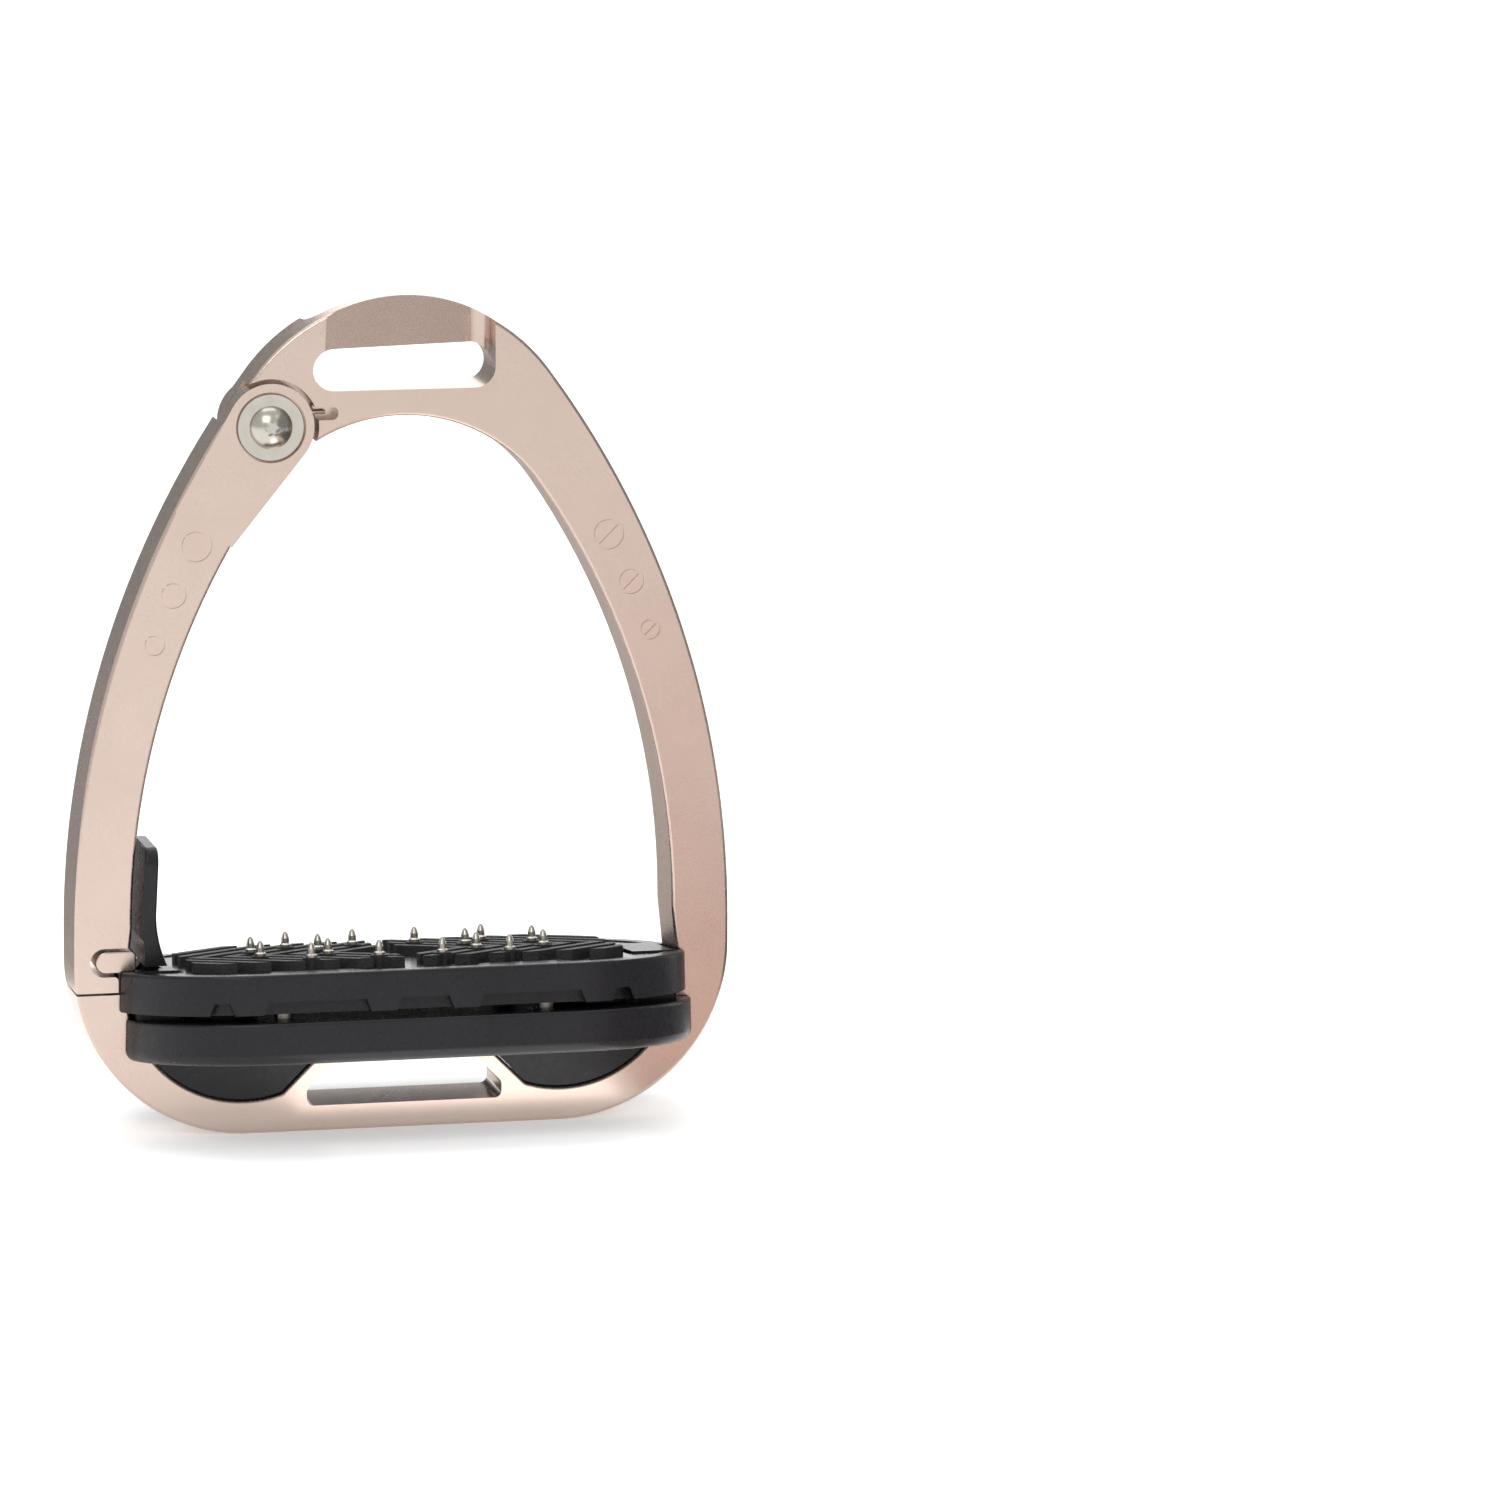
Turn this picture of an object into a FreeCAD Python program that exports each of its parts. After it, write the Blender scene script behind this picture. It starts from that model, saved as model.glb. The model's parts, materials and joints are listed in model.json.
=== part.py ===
import FreeCAD, Part

import math
import os

V = FreeCAD.Vector

# Row frame, millimetres: origin at the centre of the flat underside,
# +X towards the fixed branch, -Y towards the toe side, +Z up.

# Outline of the frame
HALF_WIDTH = 70.3
SIDE_Z = 43.0
CROWN_Z = 138.0
CROWN_R = 38.8
CORNER_R = 37.0
HALF_THICK_BASE = 7.75
HALF_THICK_TOP = 6.15
HEIGHT = CROWN_Z + CROWN_R
EDGE_ROUND = 0.7
BLANK_DEPTH = 25.0

# Foot opening and the two pockets below it
OPEN_HALF = 58.0
OPEN_SIDE_Z = 45.0
OPEN_CROWN_Z = 116.1
OPEN_CROWN_R = 35.8
POCKET_R = 25.1
POCKET_X = 34.1
POCKET_Z = 32.3
STRUT_SUM = 34.7
PLATFORM_Z = 22.5
STRUT_ROUND = 3.0

# Window between the struts
WINDOW_HALF_LOW = 21.0
WINDOW_HALF_HIGH = 13.3
WINDOW_Z = (5.5, 9.0, 17.0)
WINDOW_ROUND = 1.5

# Slot for the stirrup leather and the diagonal bar over it
SLOT_X = (-19.0, 19.8)
SLOT_Z = (157.4, 166.2)
RAMP_FLUSH_X = 16.5
RAMP_STEP_X = 19.2
RAMP_PAST_MIDDLE = 1.2
RAMP_ROUND = 3.0

# Hinge of the release arm: lap joint turning about Y
PIVOT = (-28.0, 150.1)
HEAD_R = 9.2
HEAD_CLEAR_R = 10.2
LAP_GAP = 0.1
BAND_LEAN = 51.0
BAND_TURN = 12.0
NECK_CENTRE = (-42.0, 129.6)
NECK_R = 7.2
SCREW_R = 2.5
SCREW_DEPTH = 5.2
SCREW_HEAD_R = 4.6
SCREW_HEAD_HEIGHT = 2.6
SOCKET_R = 1.25
SOCKET_DEPTH = 1.3
WASHER_R = 7.15
WASHER_Y = (-6.25, -5.25)
WASHER_CHAMFER = 0.2
COUNTERBORE_R = 7.45
BUSH_R = 3.6
RUNNING_FIT = 0.05
COIL_R = 5.6
COIL_WIRE_R = 0.42
COIL_TURNS = 2.5
COIL_PITCH = 1.0
COIL_Y = -3.3
COIL_ROOM = 0.75
COIL_ROOM_Y = -4.0
KNEE_R = 1.2
LEG_RISE = 2.65
LEG_END = 12.0
LEG_SLOT_END = 14.3
LEG_SLOT_WIDTH = 2.75
LEG_SLOT_FLOOR_Y = -2.4
LEG_SWEEP = (-6.0, 78.0)

# Foot of the arm, its slot and the fixed tongue
STUB_TOP = 31.05
ARM_BOTTOM = 31.55
ARM_SLOT_X = -67.0
ARM_SLOT_Z = (34.9, 41.0)
LIP_END_X = -61.0
LIP_ROUND = 0.9
TONGUE_X = (-65.8, -57.2)
TONGUE_Z = (35.6, 40.3)
TONGUE_HALF_Y = 7.3
TONGUE_GAP = 0.3
TONGUE_ROUND = 0.4
ROOT_X = (-60.7, -59.0)
ROOT_HALF_Y = 5.5
ROOT_BOTTOM = 27.5

# Engraved rings on both branches, front and rear
RINGS = ((44.0, 125.7, 3.4), (48.9, 115.5, 2.85), (53.0, 105.1, 2.3))
RING_LINE = 0.5
RING_DEPTH = 0.3

# Tread: built level with the tray's rim at z = 0, then tilted, toe side up
TILT = 7.0
RIM_Z = 35.0
TRAY_HALF = 61.5
TRAY_FRONT = -30.0
TRAY_REAR = 40.0
FRONT_CORNER = 29.0
REAR_CORNER = 36.0
TRAY_WALL = 3.5
BAY_DEPTH = 2.3
NOTCH_TOP = -5.8
TOOTH_BOTTOM = -8.4
BAY_FLANK = 1.35
BAY_X = ((-33.3, -12.5), (-5.1, 5.1), (12.5, 33.3))
END_NOTCH_X = (40.7, 44.7)
FLOOR_Z = (-4.3, -1.8)

# Carrier under the tray
BASE_GROW = 0.5
BASE_HALF = 60.8
BASE_SHIFT = 1.3
BASE_Z = (-19.0, -10.1)
BASE_DECK = 4.0
BASE_SKIRT = 3.0
BASE_ROUND = 2.2
BRANCH_CLEAR_Y = 8.3
BRANCH_CLEAR_X = 0.8
POST_X = (48.8, 57.7)
POST_HALF_Y = 10.5
POST_TOP = 0.2
POST_ROOM = 1.0
BASE_SCREW_X = 8.0
BASE_SCREW_R = 2.0
BASE_SCREW_HEAD_R = 3.5
BASE_SCREW_HEAD = 2.2
BASE_SCREW_LENGTH = 6.8
BASE_SCREW_SINK = 0.2
BASE_SCREW_HEAD_LOW = BASE_Z[1] - BASE_SCREW_SINK - BASE_SCREW_HEAD
BASE_SCREW_TIP = BASE_SCREW_HEAD_LOW - BASE_SCREW_LENGTH

# Grip plate, ribs and studs
PLATE_MARGIN = 4.0
PLATE_TOP = -0.3
PLATE_FIT = 0.15
PLATE_REAR_HALF = 36.0
TAB_X = (13.5, 31.0)
TAB_FLANK = 2.0
TAB_DEPTH = 4.5
RIB_WIDTH = 2.4
RIB_TOP = 1.8
RIB_PITCH = 7.25
RIB_VERTICES = (2, 3, 4, 5, 6, 7, 8)
RIB_X = (2.0, 46.0)
RIB_Y = (-18.6, 26.7)
STUD_PLACES = ((30.45, 5.8), (15.95, 5.8), (21.25, 15.0), (6.75, 15.0))
STUD_R = 0.85
STUD_COLLAR_R = 1.2
STUD_COLLAR = 0.5
STUD_TOP = 5.3
STUD_TIP = 1.4
BOSS_R = 1.9
BOSS_TOP = 2.1
PLATE_SCREW = (28.5, 35.0)
PLATE_SCREW_HEAD_R = 2.5
PLATE_SCREW_R = 1.2
PLATE_SCREW_LENGTH = 5.5
PLATE_SCREW_DRIVE_R = 0.95

# Guide screws and shock pads
GUIDE_PLACES = ((28.0, -18.0), (28.0, 24.0))
GUIDE_R = 2.0
GUIDE_BOSS_R = 4.0
GUIDE_HEAD_R = 3.6
GUIDE_HEAD = 2.2
GUIDE_TOP = -4.8
PAD_PLACES = ((39.5, -12.5), (41.0, 22.0))
PAD_R = 6.5
PAD_ROUND = 0.6

# Pocket inserts
INSERT_GAP = 0.15
INSERT_HALF_Y = 6.7
INSERT_X = (12.0, 60.0)

# Release lever and its pin
PIN = (-54.2, 34.4)
PIN_R = 1.25
PIN_HALF_Y = 8.5
LEVER_HALF_Y = 9.5
LEVER_BOTTOM = 37.3
LEVER_TOP = 62.2
LEVER_RELIEF_TOP = 42.5
LEVER_FACE_X = (-55.8, -56.7, -55.3)
LEVER_BACK_X = (-52.5, -53.2, -50.9)
LEVER_WAIST = 48.0
LEVER_TOP_ROUND = 3.5
LEVER_EDGE_ROUND = 0.5
FOOT_R = 2.6
FOOT_HALF_Y = 2.3
FOOT_POCKET_X = (-57.1, -51.0)
FOOT_POCKET_HALF_Y = 4.2
FOOT_POCKET_Z = 31.4
LEVER_COIL_R = 1.75
LEVER_WIRE_R = 0.33
LEVER_COIL_Y = 2.75
LEVER_COIL_TURNS = 1.5
LEVER_COIL_PITCH = 0.75

REACH = 100.0
SKIN = 1.0


def point(place, y=0.0):
    """A point of the front view, x and z, at depth y."""
    return V(place[0], y, place[1])


def on_circle(centre, radius, angle):
    turn = math.radians(angle)
    return (centre[0] + radius * math.cos(turn), centre[1] + radius * math.sin(turn))


def line(start, end):
    return Part.makeLine(point(start), point(end))


def arc(centre, radius, first, last):
    places = [on_circle(centre, radius, a) for a in (first, (first + last) / 2, last)]
    return Part.Arc(*[point(place) for place in places]).toShape()


def closed(edges):
    return Part.Face(Part.Wire(Part.__sortEdges__(edges)))


def slab(edges, y_low, y_high):
    """A front-view outline with thickness from y_low to y_high."""
    face = closed(edges)
    face.translate(V(0, y_low, 0))
    return face.extrude(V(0, y_high - y_low, 0))


def polygon(places):
    """Straight front-view edges through the places, closed."""
    return [line(a, b) for a, b in zip(places, places[1:] + places[:1])]


def box(x, y, z):
    return Part.makeBox(x[1] - x[0], y[1] - y[0], z[1] - z[0], V(x[0], y[0], z[0]))


def rod_y(place, radius, y_low, y_high):
    return Part.makeCylinder(radius, y_high - y_low, point(place, y_low), V(0, 1, 0))


def rod_z(place, radius, z_low, z_high):
    return Part.makeCylinder(radius, z_high - z_low, V(place[0], place[1], z_low))


def fused(shapes):
    return shapes[0].multiFuse(shapes[1:]).removeSplitter()


def mirrored(shape):
    return shape.mirror(V(0, 0, 0), V(1, 0, 0))


def along_y(edge):
    """True for a straight edge that runs front to back."""
    ends = [vertex.Point for vertex in edge.Vertexes]
    return len(ends) == 2 and abs(abs(ends[1].y - ends[0].y) - edge.Length) < 0.001


def along_z(edge):
    ends = [vertex.Point for vertex in edge.Vertexes]
    return len(ends) == 2 and abs(abs(ends[1].z - ends[0].z) - edge.Length) < 0.001


def middle(edge):
    return edge.valueAt((edge.FirstParameter + edge.LastParameter) / 2)


def face_half(z):
    """Distance of the front and rear faces from the middle plane."""
    return HALF_THICK_BASE - (HALF_THICK_BASE - HALF_THICK_TOP) * z / HEIGHT


def on_faces(edge):
    """True for an edge that lies on the front or the rear face."""
    ends = [vertex.Point for vertex in edge.Vertexes] + [middle(edge)]
    return all(abs(abs(end.y) - face_half(end.z)) < 0.01 for end in ends)


def in_seat_zone(place):
    """True on the struts and the platform, where the carrier sits."""
    return abs(place.x) < POCKET_X - WINDOW_ROUND and WINDOW_Z[1] < place.z < POCKET_Z


def arch(half, side_z, crown_z, crown_r):
    """Edges from the right springing over the crown to the left springing."""
    rise = crown_z - side_z
    side_r = (half ** 2 + rise ** 2 - crown_r ** 2) / (2 * (half - crown_r))
    turn = math.degrees(math.atan2(rise, side_r - half))
    centre = side_r - half
    return [
        arc((-centre, side_z), side_r, 0, turn),
        arc((0, crown_z), crown_r, turn, 180 - turn),
        arc((centre, side_z), side_r, 180 - turn, 180),
    ]


def outer_outline():
    flat = HALF_WIDTH - CORNER_R
    edges = arch(HALF_WIDTH, SIDE_Z, CROWN_Z, CROWN_R)
    edges.append(line((-HALF_WIDTH, SIDE_Z), (-HALF_WIDTH, CORNER_R)))
    edges.append(arc((-flat, CORNER_R), CORNER_R, 180, 270))
    edges.append(line((-flat, 0), (flat, 0)))
    edges.append(arc((flat, CORNER_R), CORNER_R, 270, 360))
    edges.append(line((HALF_WIDTH, CORNER_R), (HALF_WIDTH, SIDE_Z)))
    return edges


def opening_outline(gap=0.0):
    """Foot opening with its two pockets, drawn in by a gap."""
    half = OPEN_HALF - gap
    radius = POCKET_R - gap
    pocket = (POCKET_X, POCKET_Z)
    total = STRUT_SUM + gap * math.sqrt(2)
    lean = (total - POCKET_X - POCKET_Z) / (math.sqrt(2) * radius)
    low_angle = 45 - math.degrees(math.acos(lean))
    foot = on_circle(pocket, radius, low_angle)
    shoulder = (total - PLATFORM_Z, PLATFORM_Z)
    across, up = half - POCKET_X, OPEN_SIDE_Z - POCKET_Z
    bearing = math.degrees(math.atan2(up, across))
    side_angle = bearing - math.degrees(math.acos(radius / math.hypot(across, up)))
    side = on_circle(pocket, radius, side_angle)
    edges = arch(half, OPEN_SIDE_Z, OPEN_CROWN_Z, OPEN_CROWN_R - gap)
    edges.append(line((-half, OPEN_SIDE_Z), (-side[0], side[1])))
    edges.append(arc((-POCKET_X, POCKET_Z), radius, 180 - side_angle, 180 - low_angle))
    edges.append(line((-foot[0], foot[1]), (-shoulder[0], shoulder[1])))
    edges.append(line((-shoulder[0], shoulder[1]), shoulder))
    edges.append(line(shoulder, foot))
    edges.append(arc(pocket, radius, low_angle, side_angle))
    edges.append(line(side, (half, OPEN_SIDE_Z)))
    return edges


def tilted(shape):
    """Moves a part of the tread from its level frame to its place."""
    placed = shape.copy()
    placed.rotate(V(0, 0, 0), V(1, 0, 0), -TILT)
    placed.translate(V(0, 0, RIM_Z))
    return placed


def wedge():
    """The body between the two faces, which lean in towards the crown."""
    places = [
        V(-REACH, -face_half(-SKIN), -SKIN),
        V(-REACH, face_half(-SKIN), -SKIN),
        V(-REACH, face_half(HEIGHT + SKIN), HEIGHT + SKIN),
        V(-REACH, -face_half(HEIGHT + SKIN), HEIGHT + SKIN),
    ]
    wire = Part.makePolygon(places + places[:1])
    return Part.Face(wire).extrude(V(2 * REACH, 0, 0))


def window():
    low, sill, top = WINDOW_Z
    places = [
        (-WINDOW_HALF_LOW, low),
        (WINDOW_HALF_LOW, low),
        (WINDOW_HALF_LOW, sill),
        (WINDOW_HALF_HIGH, top),
        (-WINDOW_HALF_HIGH, top),
        (-WINDOW_HALF_LOW, sill),
    ]
    hole = slab(polygon(places), -REACH, REACH)
    return hole.makeFillet(WINDOW_ROUND, [edge for edge in hole.Edges if along_y(edge)])


def stadium(x, z, y_low, y_high):
    radius = (z[1] - z[0]) / 2
    centre_z = (z[0] + z[1]) / 2
    left, right = x[0] + radius, x[1] - radius
    edges = [
        line((left, z[0]), (right, z[0])),
        arc((right, centre_z), radius, -90, 90),
        line((right, z[1]), (left, z[1])),
        arc((left, centre_z), radius, 90, 270),
    ]
    return slab(edges, y_low, y_high)


def ramp():
    """Cut that thins the bar over the slot from the front, deepest at +X."""
    face = -face_half(SLOT_Z[1])
    low_z = (SLOT_Z[0] + SLOT_Z[1]) / 2
    places = [
        V(-RAMP_FLUSH_X, face, low_z),
        V(RAMP_STEP_X, RAMP_PAST_MIDDLE, low_z),
        V(RAMP_STEP_X + 2 * SKIN, -BLANK_DEPTH, low_z),
        V(-RAMP_FLUSH_X, -BLANK_DEPTH, low_z),
    ]
    wire = Part.makePolygon(places + places[:1])
    cut = Part.Face(wire).extrude(V(0, 0, BLANK_DEPTH))
    corner = [
        edge
        for edge in cut.Edges
        if along_z(edge) and edge.Vertexes[0].Point.y > 0
    ]
    return cut.makeFillet(RAMP_ROUND, corner)


def blank():
    """Frame and arm in one piece, before the hinge and the split."""
    body = slab(outer_outline(), -BLANK_DEPTH, BLANK_DEPTH)
    body = body.cut(slab(opening_outline(), -REACH, REACH))
    strut_feet = [
        edge
        for edge in body.Edges
        if along_y(edge) and abs(middle(edge).x) < POCKET_X and 1 < middle(edge).z < PLATFORM_Z / 2
    ]
    body = body.makeFillet(STRUT_ROUND, strut_feet)
    body = body.common(wedge())
    rims = [
        edge
        for edge in body.Edges
        if on_faces(edge) and not in_seat_zone(middle(edge))
    ]
    body = body.makeFillet(EDGE_ROUND, rims)
    hole = stadium(SLOT_X, SLOT_Z, -REACH, REACH)
    body = body.cut(fused([hole, window()]))
    cut = ramp()
    turned = cut.copy()
    turned.rotate(V(0, 0, 0), V(0, 0, 1), 180)
    return body.cut(cut).cut(turned)


def rings():
    """Engraving on the right branch, front and rear, with a slanting bar."""
    cuts = []
    for x, z, radius in RINGS:
        depth = face_half(z) - RING_DEPTH
        outer = rod_y((x, z), radius, -REACH, REACH)
        inner = rod_y((x, z), radius - RING_LINE, -REACH, REACH)
        bar = box((-radius, radius), (-REACH, REACH), (-RING_LINE / 2, RING_LINE / 2))
        bar.rotate(V(0, 0, 0), V(0, 1, 0), -45)
        bar.translate(V(x, 0, z))
        sign = outer.cut(inner).fuse(bar.common(outer))
        cuts.append(sign.cut(box((0, REACH), (-depth, depth), (0, HEIGHT))))
    return fused(cuts)


def arm_side():
    """Half space on the arm's side of the hinge and above the split."""
    start = on_circle(PIVOT, REACH / 2, 180 - BAND_LEAN + BAND_TURN)
    end = on_circle(PIVOT, REACH / 2, -BAND_LEAN + BAND_TURN)
    inside = -SLOT_X[1]
    places = [start, end, (inside, ARM_BOTTOM), (-REACH, ARM_BOTTOM), (-REACH, start[1])]
    return slab(polygon(places), -REACH, REACH)


def hinge_clearance(y_low, y_high):
    return rod_y(PIVOT, HEAD_CLEAR_R, y_low, y_high)


def neck():
    """Smooth fillet body between the arm's round head and its branch."""
    dx, dz = NECK_CENTRE[0] - PIVOT[0], NECK_CENTRE[1] - PIVOT[1]
    length = math.hypot(dx, dz)
    lean = math.degrees(math.atan2(dz, dx))
    open_angle = math.degrees(math.acos((HEAD_R - NECK_R) / length))
    places = [
        on_circle(PIVOT, HEAD_R, lean + open_angle),
        on_circle(PIVOT, HEAD_R, lean - open_angle),
        on_circle(NECK_CENTRE, NECK_R, lean - open_angle),
        on_circle(NECK_CENTRE, NECK_R, lean + open_angle),
    ]
    body = slab(polygon(places), -REACH, REACH)
    return body.fuse(rod_y(PIVOT, HEAD_R, -REACH, REACH))


def frame(full):
    side = arm_side()
    front = box((-REACH, REACH), (-REACH, LAP_GAP), (0, 2 * REACH))
    room = side.common(front).fuse(hinge_clearance(-REACH, LAP_GAP))
    rear_arm = side.cut(rod_y(PIVOT, HEAD_R, LAP_GAP, REACH))
    body = full.cut(room).cut(rear_arm)
    lug = rod_y(PIVOT, HEAD_R, LAP_GAP, REACH).common(wedge())
    body = body.fuse(lug)
    split = box((-REACH, -OPEN_HALF + SKIN), (-REACH, REACH), (STUB_TOP, ARM_BOTTOM + SKIN))
    body = body.cut(split)
    body = body.cut(rod_y(PIVOT, SCREW_R, -REACH, SCREW_DEPTH))
    slot = stadium(
        (PIVOT[0], PIVOT[0] + LEG_SLOT_END),
        (PIVOT[1] + LEG_RISE - LEG_SLOT_WIDTH / 2, PIVOT[1] + LEG_RISE + LEG_SLOT_WIDTH / 2),
        -REACH,
        LEG_SLOT_FLOOR_Y,
    )
    body = body.cut(slot).cut(rings())
    body = body.cut(box(ROOT_X, (-ROOT_HALF_Y, ROOT_HALF_Y), (ROOT_BOTTOM, POCKET_Z + SKIN)))
    seat = box((-POCKET_R, POCKET_R), (-BLANK_DEPTH, BLANK_DEPTH), (BASE_Z[1] - BASE_DECK, 0))
    body = body.cut(tilted(seat))
    for x in (-BASE_SCREW_X, BASE_SCREW_X):
        body = body.cut(tilted(rod_z((x, 0), BASE_SCREW_R, BASE_SCREW_TIP, 0)))
    return body.removeSplitter()


def release_arm(full):
    side = arm_side()
    body = full.common(side).fuse(neck().common(wedge()))
    rear = box((-REACH, REACH), (-LAP_GAP, REACH), (0, 2 * REACH))
    body = body.cut(rear.cut(side))
    body = body.cut(hinge_clearance(-LAP_GAP, REACH))
    slot = stadium((ARM_SLOT_X, -OPEN_HALF + 4 * SKIN), ARM_SLOT_Z, -REACH, REACH)
    body = body.cut(slot)
    body = body.cut(box((LIP_END_X, 0), (-REACH, REACH), (0, ARM_SLOT_Z[0] + SKIN)))
    lip = [
        edge
        for edge in body.Edges
        if along_y(edge) and middle(edge).distanceToPoint(V(LIP_END_X, 0, ARM_SLOT_Z[0])) < 1
    ]
    body = body.makeFillet(LIP_ROUND, lip)
    body = body.cut(rod_y(PIVOT, BUSH_R + RUNNING_FIT, -REACH, REACH))
    body = body.cut(rod_y(PIVOT, COUNTERBORE_R, -REACH, WASHER_Y[1] + RUNNING_FIT))
    groove = rod_y(PIVOT, COIL_R + COIL_ROOM, COIL_ROOM_Y, 0)
    body = body.cut(groove.cut(rod_y(PIVOT, COIL_R - COIL_ROOM, COIL_ROOM_Y, 0)))
    sweep = Part.makeCylinder(
        HEAD_CLEAR_R, -COIL_ROOM_Y, point(PIVOT, 0), V(0, -1, 0), LEG_SWEEP[1] - LEG_SWEEP[0]
    )
    sweep.rotate(point(PIVOT), V(0, 1, 0), -LEG_SWEEP[1])
    body = body.cut(sweep.cut(rod_y(PIVOT, COIL_R, -REACH, REACH)))
    return body.cut(mirrored(rings())).removeSplitter()


def hinge_screw():
    head_low = WASHER_Y[0]
    sphere_r = (SCREW_HEAD_R ** 2 + SCREW_HEAD_HEIGHT ** 2) / (2 * SCREW_HEAD_HEIGHT)
    centre_y = head_low - SCREW_HEAD_HEIGHT + sphere_r
    dome = Part.makeSphere(sphere_r, point(PIVOT, centre_y))
    dome = dome.common(rod_y(PIVOT, SCREW_HEAD_R - RUNNING_FIT, -REACH, head_low))
    shank = rod_y(PIVOT, SCREW_R, head_low, SCREW_DEPTH)
    floor = head_low - SCREW_HEAD_HEIGHT + SOCKET_DEPTH
    socket = [rod_y(PIVOT, SOCKET_R, -REACH, floor)]
    for lobe in range(6):
        place = on_circle(PIVOT, SOCKET_R, lobe * 60)
        socket.append(rod_y(place, SOCKET_R / 3, -REACH, floor))
    return dome.fuse(shank).cut(fused(socket)).removeSplitter()


def hinge_washer():
    disc = rod_y(PIVOT, WASHER_R, *WASHER_Y)
    rims = [edge for edge in disc.Edges if middle(edge).y < WASHER_Y[0] + 0.01]
    disc = disc.makeChamfer(WASHER_CHAMFER, rims)
    return disc.cut(rod_y(PIVOT, SCREW_R, -REACH, REACH))


def hinge_bush():
    sleeve = rod_y(PIVOT, BUSH_R, WASHER_Y[1], LAP_GAP)
    return sleeve.cut(rod_y(PIVOT, SCREW_R, -REACH, REACH))


def coil_points(radius, pitch, turns, last_angle, y_last):
    """Centre line of a coil about Y, every 30 degrees, ending at last_angle."""
    steps = round(turns * 12)
    points = []
    for step in range(steps + 1):
        back = (steps - step) * 30
        x, z = on_circle((0, 0), radius, last_angle + back)
        points.append(V(x, y_last + pitch * back / 360, z))
    return points


def bent_wire(points, radius, centre):
    """Round wire along a smooth line through the points."""
    path = Part.BSplineCurve()
    path.interpolate(points)
    start = path.value(path.FirstParameter)
    ring = Part.Wire(Part.makeCircle(radius, start, path.tangent(path.FirstParameter)[0]))
    body = Part.Wire(path.toShape()).makePipeShell([ring], True, False)
    body.translate(point(centre))
    return body


def return_spring():
    """Coil round the bush, with the leg that rests in the frame's slot."""
    knee = COIL_R + KNEE_R
    angle = math.degrees(math.asin((LEG_RISE + KNEE_R) / knee))
    points = coil_points(COIL_R, COIL_PITCH, COIL_TURNS, angle, COIL_Y)
    centre = on_circle((0, 0), knee, angle)
    for turn in (0.5, 1.0):
        bend = 180 + angle + turn * (90 - angle)
        x, z = on_circle(centre, KNEE_R, bend)
        points.append(V(x, COIL_Y, z))
    for share in (1 / 3, 2 / 3, 1):
        points.append(V(centre[0] + share * (LEG_END - centre[0]), COIL_Y, LEG_RISE))
    return bent_wire(points, COIL_WIRE_R, PIVOT)


def latch_tongue():
    centre_z = (TONGUE_Z[0] + TONGUE_Z[1]) / 2
    radius = (TONGUE_Z[1] - TONGUE_Z[0]) / 2
    left = TONGUE_X[0] + radius
    edges = [
        line((left, TONGUE_Z[0]), (TONGUE_X[1], TONGUE_Z[0])),
        line((TONGUE_X[1], TONGUE_Z[0]), (TONGUE_X[1], TONGUE_Z[1])),
        line((TONGUE_X[1], TONGUE_Z[1]), (left, TONGUE_Z[1])),
        arc((left, centre_z), radius, 90, 270),
    ]
    body = slab(edges, -TONGUE_HALF_Y, TONGUE_HALF_Y)
    corners = [
        edge for edge in body.Edges if along_y(edge) and middle(edge).x > TONGUE_X[1] - 0.01
    ]
    body = body.makeFillet(radius / 2, corners)
    rims = [edge for edge in body.Edges if abs(abs(middle(edge).y) - TONGUE_HALF_Y) < 0.01]
    body = body.makeFillet(TONGUE_ROUND, rims)
    root = box(ROOT_X, (-ROOT_HALF_Y, ROOT_HALF_Y), (ROOT_BOTTOM, centre_z))
    return body.fuse(root).removeSplitter()


def pocket_insert():
    """Infill of the right pocket, up to the underside of the carrier."""
    body = slab(opening_outline(INSERT_GAP), -INSERT_HALF_Y, INSERT_HALF_Y)
    body = body.common(box(INSERT_X, (-REACH, REACH), (0, POCKET_Z)))
    above = box((0, REACH), (-REACH, REACH), (BASE_Z[1] - BASE_DECK, REACH))
    return body.cut(tilted(above))


def tread_plan(grow, z_low, z_high, half=TRAY_HALF):
    """Rounded outline of the tread, grown all round, as a level slab."""
    x = half + grow
    front, rear = TRAY_FRONT - grow, TRAY_REAR + grow
    plan = box((-x, x), (front, rear), (z_low, z_high))
    for radius, y in ((FRONT_CORNER + grow, front), (REAR_CORNER + grow, rear)):
        corners = [
            edge
            for edge in plan.Edges
            if along_z(edge) and middle(edge).distanceToPoint(V(0, y, middle(edge).z)) > x - SKIN
            and abs(middle(edge).y - y) < SKIN / 10
        ]
        plan = plan.makeFillet(radius, corners)
    return plan


def base_plan(grow, z_low, z_high):
    """The carrier's outline, which reaches further under the fixed branch."""
    plan = tread_plan(BASE_GROW + grow, z_low, z_high, BASE_HALF)
    plan.translate(V(BASE_SHIFT, 0, 0))
    return plan


def branch_room():
    """Space round both branches that the tread keeps out of, in place."""
    room = box((-REACH, REACH), (-BRANCH_CLEAR_Y, BRANCH_CLEAR_Y), (0, 2 * RIM_Z))
    return room.cut(slab(opening_outline(BRANCH_CLEAR_X), -REACH, REACH)).cut(
        box((-POCKET_X, POCKET_X), (-REACH, REACH), (0, 2 * RIM_Z))
    )


def tongue_room():
    """Space round the latch tongue, where it reaches over the tread."""
    half = TONGUE_HALF_Y + TONGUE_GAP
    x, z = (-REACH, TONGUE_X[1] + TONGUE_GAP), (TONGUE_Z[0] - TONGUE_GAP, 2 * RIM_Z)
    return box(x, (-half, half), z)


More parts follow.
